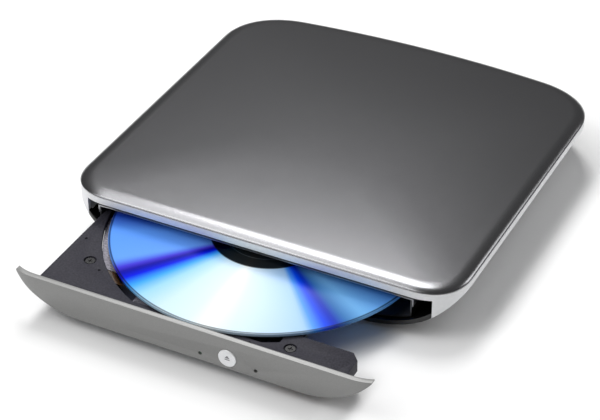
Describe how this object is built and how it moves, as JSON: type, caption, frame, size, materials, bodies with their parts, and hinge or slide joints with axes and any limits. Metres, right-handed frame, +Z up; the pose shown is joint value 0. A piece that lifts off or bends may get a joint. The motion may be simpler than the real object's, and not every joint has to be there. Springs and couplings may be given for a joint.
{
  "type": "external optical disc drive",
  "caption": "Slim external disc drive: rounded flat case whose tray slides out of the front with a disc on its sprung hub.",
  "frame": {"origin": "centre of the case's footprint on the plane that the feet stand on", "axes": "+X to the right seen from the front, +Y to the back (the tray comes out along -Y), +Z up"},
  "size_m": [0.1586, 0.2033, 0.0231],
  "materials": {
    "cover_paint": "satin",
    "frame_silver": "gloss",
    "black_gloss": "gloss",
    "rubber": "matte",
    "screw_steel": "satin",
    "sheet_steel": "satin",
    "black_plastic": "matte",
    "board_green": "satin",
    "connector_ivory": "satin",
    "tray_plastic": "matte",
    "panel_paint": "satin",
    "button_silver": "satin",
    "lamp": "gloss",
    "flex_amber": "gloss",
    "copper": "satin",
    "brass": "satin",
    "disc_coat": "mirror-like",
    "lens_glass": "gloss",
    "cast_alloy": "satin"
  },
  "bodies": {
    "case": {"top_cover": "cover_paint", "side_frame": "frame_silver", "bottom_cover": "black_gloss", "rubber_feet": "rubber", "case_screws": "screw_steel", "usb_socket": "sheet_steel", "dc_jack": "black_plastic", "dc_jack_pin": "brass", "bridge_board": "board_green", "bridge_chips": "black_plastic", "drive_connector": "connector_ivory", "drive_base_pan": "sheet_steel", "drive_top_plate": "sheet_steel", "drive_screws": "screw_steel", "main_board": "board_green", "main_chips": "black_plastic", "left_rail_guide": "black_plastic", "right_rail_guide": "black_plastic", "latch_post": "screw_steel"},
    "left_rail": {"left_slide_rail": "sheet_steel"},
    "right_rail": {"right_slide_rail": "sheet_steel"},
    "tray": {"tray": "tray_plastic", "front_panel": "panel_paint", "lamp_lens": "lamp", "tray_bottom_plate": "sheet_steel", "tray_board": "board_green", "eject_switch": "sheet_steel", "pickup_cover": "sheet_steel", "pickup_flex": "flex_amber", "tray_screws": "black_plastic", "traverse_frame": "sheet_steel", "damper_grommets": "rubber", "guide_rods": "screw_steel", "sled_motor": "screw_steel", "spindle_base": "sheet_steel", "stator_coils": "copper", "latch_solenoid": "copper"},
    "button": {"eject_button": "button_silver"},
    "latch": {"latch_lever": "connector_ivory"},
    "spindle": {"spindle_shaft": "screw_steel", "rotor_cup": "screw_steel", "turntable_hub": "black_plastic", "turntable_ring": "rubber", "clamp_lugs": "screw_steel", "optical_disc": "disc_coat"},
    "sled": {"pickup_sled": "cast_alloy", "laser_diode": "brass"},
    "lens": {"lens_holder": "black_plastic", "objective_lens": "lens_glass"},
    "screw": {"lead_screw": "brass"}
  },
  "joints": [
    {"name": "tray_slide", "type": "slide", "parent": "case", "child": "tray", "axis": [0, -1, 0], "range_m": [-0.049, 0.078]},
    {"name": "left_rail_slide", "type": "slide", "parent": "case", "child": "left_rail", "axis": [0, -1, 0], "range_m": [-0.0246, 0.0391]},
    {"name": "right_rail_slide", "type": "slide", "parent": "case", "child": "right_rail", "axis": [0, -1, 0], "range_m": [-0.0246, 0.0391]},
    {"name": "eject_button_press", "type": "slide", "parent": "tray", "child": "button", "axis": [0, 1, 0], "range_m": [0, 0.0006], "stiffness_N_per_m": 3500},
    {"name": "latch_swing", "type": "hinge", "parent": "tray", "child": "latch", "pos_m": [0.05, -0.1185, 0.0079], "axis": [0, 0, 1], "range_deg": [0, 12], "stiffness_Nm_per_rad": 0.02},
    {"name": "spindle_spin", "type": "hinge", "parent": "tray", "child": "spindle", "pos_m": [-0.002, -0.0586, 0.0092], "axis": [0, 0, 1], "continuous": true},
    {"name": "pickup_travel", "type": "slide", "parent": "tray", "child": "sled", "axis": [-0.5736, -0.8192, 0], "range_m": [0, 0.031]},
    {"name": "lead_screw_turn", "type": "hinge", "parent": "tray", "child": "screw", "pos_m": [0.00768, -0.07685, 0.0067], "axis": [-0.5736, -0.8192, 0], "range_deg": [0, 3721]},
    {"name": "lens_focus", "type": "slide", "parent": "sled", "child": "lens", "axis": [0, 0, 1], "range_m": [-0.0005, 0.0005], "stiffness_N_per_m": 60}
  ],
  "couplings": [
    {"joint": "left_rail_slide", "follows": "tray_slide", "ratio": 0.5},
    {"joint": "right_rail_slide", "follows": "tray_slide", "ratio": 0.5},
    {"joint": "lead_screw_turn", "follows": "pickup_travel", "rad_per_m": 2094.4}
  ]
}
